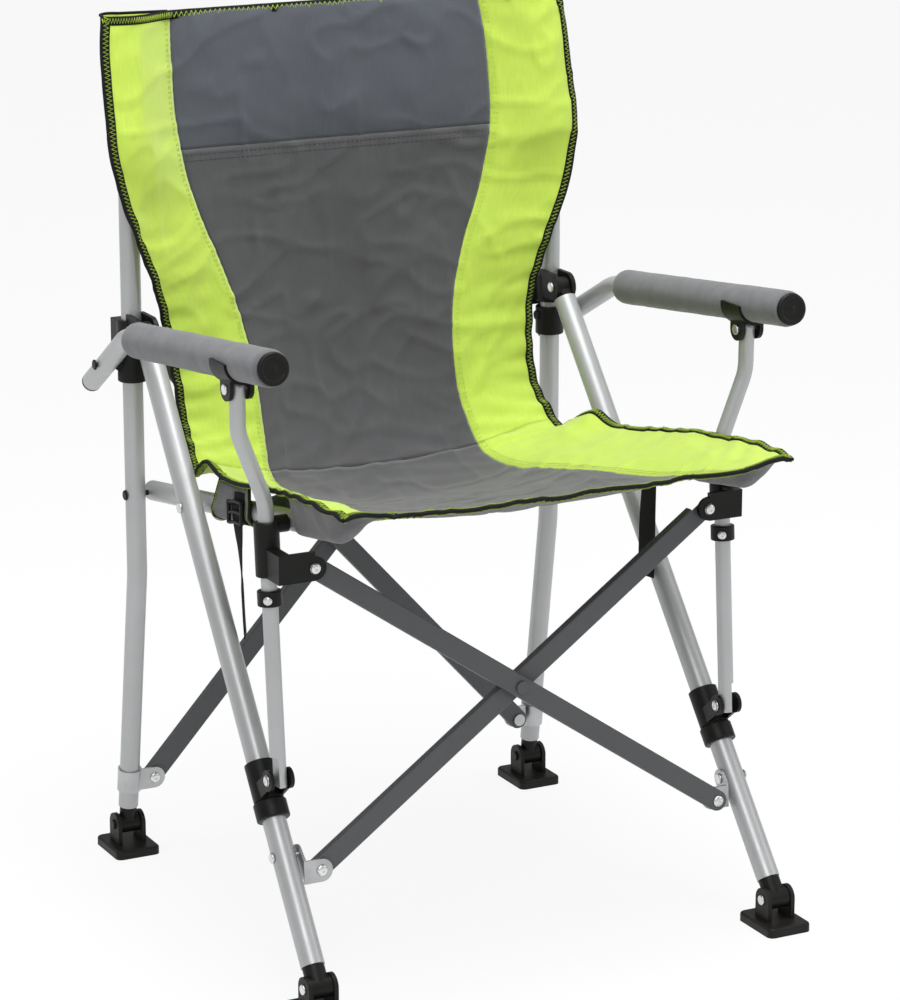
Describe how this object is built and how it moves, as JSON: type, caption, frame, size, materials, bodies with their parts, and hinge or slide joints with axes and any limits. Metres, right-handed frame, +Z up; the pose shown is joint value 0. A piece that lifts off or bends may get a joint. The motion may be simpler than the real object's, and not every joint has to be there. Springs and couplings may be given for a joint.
{
  "type": "folding camp chair",
  "caption": "Folding camp chair with a tubular frame, crossed flat bars, padded arms and a lime and grey fabric sling that closes into an upright bundle.",
  "frame": {"origin": "on the ground, below the middle of the bounding box", "axes": "+Z up, the sitter faces -Y, +X to the right of someone facing the chair from the front"},
  "size_m": [0.6324, 0.6029, 0.943],
  "materials": {
    "rivet_steel": "bright domed rivet",
    "bracket_steel": "plain pressed steel",
    "black_plastic": "moulded black plastic",
    "foot_plastic": "moulded black plastic",
    "bar_paint": "dark grey satin paint",
    "sleeve_foam": "closed-cell foam sleeve",
    "head_cloth": "padded bluish grey woven cloth",
    "lime_cloth": "lime woven cloth",
    "grey_cloth": "dark grey woven cloth",
    "webbing": "black webbing",
    "tube_paint": "silver grey paint"
  },
  "bodies": {
    "left_frame": {"left_upright": "tube_paint", "left_upright_plugs": "black_plastic", "left_upright_collar": "black_plastic", "left_rear_bracket": "bracket_steel", "left_upright_rivets": "rivet_steel", "sling_back": "grey_cloth", "sling_head_pad": "head_cloth", "left_sling_wing": "lime_cloth", "right_sling_wing": "lime_cloth"},
    "left_hub": {"left_rear_hub": "black_plastic"},
    "left_leg": {"left_leg": "tube_paint", "left_leg_plugs": "black_plastic", "left_leg_collar": "black_plastic", "left_leg_rivets": "rivet_steel"},
    "left_fork": {"left_fork": "black_plastic"},
    "left_bracket": {"left_front_bracket": "bracket_steel"},
    "left_rail": {"left_rail": "tube_paint", "left_strap": "webbing", "sling_seat": "grey_cloth", "left_sling_side": "lime_cloth", "right_sling_side": "lime_cloth"},
    "left_arm": {"left_arm": "tube_paint", "left_arm_pad": "sleeve_foam", "left_arm_caps": "black_plastic", "left_arm_bracket": "black_plastic"},
    "left_post": {"left_post": "tube_paint", "left_front_hub": "black_plastic", "left_post_collar": "black_plastic", "left_post_rivets": "rivet_steel"},
    "left_front_foot": {"left_front_foot": "foot_plastic"},
    "left_rear_foot": {"left_rear_foot": "foot_plastic"},
    "right_frame": {"right_upright": "tube_paint", "right_upright_plugs": "black_plastic", "right_upright_collar": "black_plastic", "right_rear_bracket": "bracket_steel", "right_upright_rivets": "rivet_steel"},
    "right_hub": {"right_rear_hub": "black_plastic"},
    "right_leg": {"right_leg": "tube_paint", "right_leg_plugs": "black_plastic", "right_leg_collar": "black_plastic", "right_leg_rivets": "rivet_steel"},
    "right_fork": {"right_fork": "black_plastic"},
    "right_bracket": {"right_front_bracket": "bracket_steel"},
    "right_rail": {"right_rail": "tube_paint", "right_strap": "webbing"},
    "right_arm": {"right_arm": "tube_paint", "right_arm_pad": "sleeve_foam", "right_arm_caps": "black_plastic", "right_arm_bracket": "black_plastic"},
    "right_post": {"right_post": "tube_paint", "right_front_hub": "black_plastic", "right_post_collar": "black_plastic", "right_post_rivets": "rivet_steel"},
    "right_front_foot": {"right_front_foot": "foot_plastic"},
    "right_rear_foot": {"right_rear_foot": "foot_plastic"},
    "rear_bar_a": {"rear_bar_a": "bar_paint"},
    "rear_bar_b": {"rear_bar_b": "bar_paint"},
    "front_bar_a": {"front_bar_a": "bar_paint"},
    "front_bar_b": {"front_bar_b": "bar_paint"}
  },
  "joints": [
    {"name": "rear_fold", "type": "hinge", "parent": "left_frame", "child": "rear_bar_a", "pos_m": [-0.229, 0.2535, 0.086], "axis": [0, -1, 0], "range_deg": [0, 36.09], "deforming": ["sling_back", "sling_head_pad", "left_sling_wing", "right_sling_wing", "sling_seat", "left_sling_side", "right_sling_side", "left_strap", "right_strap"]},
    {"name": "rear_cross", "type": "hinge", "parent": "rear_bar_a", "child": "rear_bar_b", "pos_m": [0, 0.2535, 0.3365], "axis": [0, -1, 0], "range_deg": [-72.38, 0.2]},
    {"name": "right_frame_close", "type": "hinge", "parent": "rear_bar_b", "child": "right_frame", "pos_m": [0.229, 0.2535, 0.086], "axis": [0, -1, 0], "range_deg": [-0.2, 36.29]},
    {"name": "left_hub_rise", "type": "hinge", "parent": "rear_bar_b", "child": "left_hub", "pos_m": [-0.229, 0.2535, 0.587], "axis": [0, -1, 0], "range_deg": [-0.2, 36.29]},
    {"name": "right_hub_rise", "type": "hinge", "parent": "rear_bar_a", "child": "right_hub", "pos_m": [0.229, 0.2535, 0.587], "axis": [0, -1, 0], "range_deg": [-36.29, 0.2]},
    {"name": "left_leg_swing", "type": "hinge", "parent": "left_hub", "child": "left_leg", "pos_m": [-0.2535, 0.1935, 0.612], "axis": [1, 0, 0], "range_deg": [-0.2, 35.42]},
    {"name": "left_rail_swing", "type": "hinge", "parent": "left_frame", "child": "left_rail", "pos_m": [-0.2305, 0.2235, 0.425], "axis": [-1, 0, 0], "range_deg": [-0.2, 66.63]},
    {"name": "left_arm_swing", "type": "hinge", "parent": "left_frame", "child": "left_arm", "pos_m": [-0.286, 0.2235, 0.574], "axis": [-1, 0, 0], "range_deg": [-0.2, 64.56]},
    {"name": "left_post_swing", "type": "hinge", "parent": "left_arm", "child": "left_post", "pos_m": [-0.294, -0.1405, 0.626], "axis": [-1, 0, 0], "range_deg": [-71.29, 0.2]},
    {"name": "left_fork_slide", "type": "slide", "parent": "left_leg", "child": "left_fork", "axis": [0.021, 0.6176, 0.7862], "range_m": [-0.001, 0.25996]},
    {"name": "left_bracket_swivel", "type": "hinge", "parent": "left_leg", "child": "left_bracket", "pos_m": [-0.26606, -0.17604, 0.14157], "axis": [1, 0, 0], "range_deg": [-26.81, 0.2]},
    {"name": "left_front_foot_tilt", "type": "hinge", "parent": "left_leg", "child": "left_front_foot", "pos_m": [-0.269, -0.2625, 0.0315], "axis": [1, 0, 0], "range_deg": [-38, 15]},
    {"name": "left_rear_foot_tilt", "type": "hinge", "parent": "left_frame", "child": "left_rear_foot", "pos_m": [-0.256, 0.2685, 0.0315], "axis": [1, 0, 0], "range_deg": [-20, 20]},
    {"name": "right_leg_swing", "type": "hinge", "parent": "right_hub", "child": "right_leg", "pos_m": [0.2535, 0.1935, 0.612], "axis": [1, 0, 0], "range_deg": [-0.2, 35.42]},
    {"name": "right_rail_swing", "type": "hinge", "parent": "right_frame", "child": "right_rail", "pos_m": [0.2305, 0.2235, 0.425], "axis": [-1, 0, 0], "range_deg": [-0.2, 66.63]},
    {"name": "right_arm_swing", "type": "hinge", "parent": "right_frame", "child": "right_arm", "pos_m": [0.286, 0.2235, 0.574], "axis": [-1, 0, 0], "range_deg": [-0.2, 64.56]},
    {"name": "right_post_swing", "type": "hinge", "parent": "right_arm", "child": "right_post", "pos_m": [0.294, -0.1405, 0.626], "axis": [-1, 0, 0], "range_deg": [-71.29, 0.2]},
    {"name": "right_fork_slide", "type": "slide", "parent": "right_leg", "child": "right_fork", "axis": [-0.021, 0.6176, 0.7862], "range_m": [-0.001, 0.25996]},
    {"name": "right_bracket_swivel", "type": "hinge", "parent": "right_leg", "child": "right_bracket", "pos_m": [0.26606, -0.17604, 0.14157], "axis": [1, 0, 0], "range_deg": [-26.81, 0.2]},
    {"name": "right_front_foot_tilt", "type": "hinge", "parent": "right_leg", "child": "right_front_foot", "pos_m": [0.269, -0.2625, 0.0315], "axis": [1, 0, 0], "range_deg": [-38, 15]},
    {"name": "right_rear_foot_tilt", "type": "hinge", "parent": "right_frame", "child": "right_rear_foot", "pos_m": [0.256, 0.2685, 0.0315], "axis": [1, 0, 0], "range_deg": [-20, 20]},
    {"name": "front_bar_turn", "type": "hinge", "parent": "left_bracket", "child": "front_bar_a", "pos_m": [-0.232, -0.1918, 0.1266], "axis": [0, -0.9971, 0.0763], "range_deg": [-0.2, 47.47]},
    {"name": "front_cross", "type": "hinge", "parent": "front_bar_a", "child": "front_bar_b", "pos_m": [0, -0.17965, 0.2853], "axis": [0, -0.9971, 0.0763], "range_deg": [-94.74, 0.2]}
  ],
  "couplings": [
    {"joint": "rear_cross", "follows": "rear_fold", "ratio": -2},
    {"joint": "right_frame_close", "follows": "rear_fold", "ratio": 1},
    {"joint": "left_hub_rise", "follows": "rear_fold", "ratio": 1},
    {"joint": "right_hub_rise", "follows": "rear_fold", "ratio": -1},
    {"joint": "left_leg_swing", "follows": "rear_fold", "ratio": 0.9758},
    {"joint": "left_rail_swing", "follows": "rear_fold", "ratio": 1.8406},
    {"joint": "left_arm_swing", "follows": "rear_fold", "ratio": 1.7835},
    {"joint": "left_post_swing", "follows": "rear_fold", "ratio": -1.9698},
    {"joint": "left_fork_slide", "follows": "rear_fold", "m_per_rad": 0.41112},
    {"joint": "left_bracket_swivel", "follows": "rear_fold", "ratio": -0.73727},
    {"joint": "right_leg_swing", "follows": "rear_fold", "ratio": 0.9758},
    {"joint": "right_rail_swing", "follows": "rear_fold", "ratio": 1.8406},
    {"joint": "right_arm_swing", "follows": "rear_fold", "ratio": 1.7835},
    {"joint": "right_post_swing", "follows": "rear_fold", "ratio": -1.9698},
    {"joint": "right_fork_slide", "follows": "rear_fold", "m_per_rad": 0.41112},
    {"joint": "right_bracket_swivel", "follows": "rear_fold", "ratio": -0.73727},
    {"joint": "front_bar_turn", "follows": "rear_fold", "ratio": 1.3098},
    {"joint": "front_cross", "follows": "rear_fold", "ratio": -2.6197}
  ]
}
